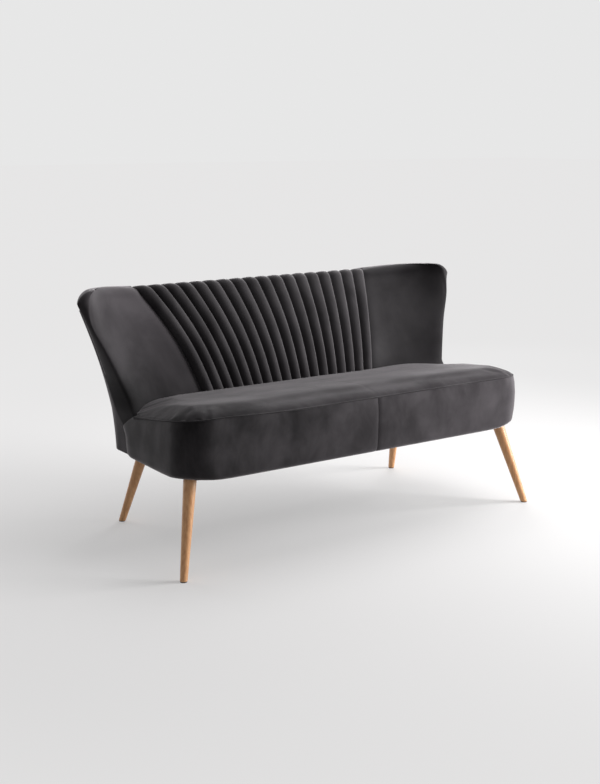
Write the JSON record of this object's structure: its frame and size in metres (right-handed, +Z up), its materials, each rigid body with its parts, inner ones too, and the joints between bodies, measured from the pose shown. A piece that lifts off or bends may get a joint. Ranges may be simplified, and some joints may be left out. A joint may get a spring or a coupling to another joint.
{
  "type": "two-seater sofa",
  "caption": "Armless two-seater cocktail sofa in charcoal velvet: fluted back between flared wings, crowned seat, splayed tapered wooden legs.",
  "frame": {"origin": "floor level, under the middle of the sofa's bounding box", "axes": "+X along the seat to the sitter's left, +Y from the front of the seat to the back, +Z up"},
  "size_m": [1.4316, 0.7001, 0.7471],
  "materials": {
    "velvet": "charcoal velvet pile",
    "leg_wood": "clear satin lacquer on turned oak",
    "frame_wood": "sawn and planed, bare",
    "liner_board": "hardboard",
    "foam": "open-cell foam",
    "wadding": "polyester wadding",
    "dust_cloth": "thin non-woven cloth",
    "woven_sheet": "woven sheet",
    "webbing": "elastic webbing",
    "zinc_steel": "zinc plated",
    "spring_steel": "bare spring wire",
    "glide_plastic": "moulded"
  },
  "bodies": {
    "root": {"back_foam": "foam", "back_lower_rail": "frame_wood", "back_post_bolts": "zinc_steel", "back_post_left": "frame_wood", "back_post_right": "frame_wood", "back_top_rail": "frame_wood", "back_webbing": "webbing", "corner_block_front_left": "frame_wood", "corner_block_front_right": "frame_wood", "corner_block_rear_left": "frame_wood", "corner_block_rear_right": "frame_wood", "dust_cover": "dust_cloth", "fluted_back_panel": "velvet", "front_rail": "frame_wood", "glide_front_left": "glide_plastic", "glide_front_right": "glide_plastic", "glide_rear_left": "glide_plastic", "glide_rear_right": "glide_plastic", "leg_front_left": "leg_wood", "leg_front_right": "leg_wood", "leg_hanger_bolts": "zinc_steel", "leg_plate_front_left": "zinc_steel", "leg_plate_front_right": "zinc_steel", "leg_plate_rear_left": "zinc_steel", "leg_plate_rear_right": "zinc_steel", "leg_plate_screws": "zinc_steel", "leg_rear_left": "leg_wood", "leg_rear_right": "leg_wood", "middle_rail": "frame_wood", "outside_back_cover": "velvet", "outside_back_liner": "liner_board", "rear_rail": "frame_wood", "seat_band_left": "velvet", "seat_band_right": "velvet", "seat_foam": "foam", "seat_springs": "spring_steel", "seat_top_cover": "velvet", "seat_wadding": "wadding", "side_rail_left": "frame_wood", "side_rail_right": "frame_wood", "spring_clips": "zinc_steel", "spring_cover": "woven_sheet", "wing_cover_left": "velvet", "wing_cover_right": "velvet", "wing_foam_left": "foam", "wing_foam_right": "foam", "wing_post_left": "frame_wood", "wing_post_right": "frame_wood", "wing_rail_left": "frame_wood", "wing_rail_right": "frame_wood"}
  },
  "joints": []
}
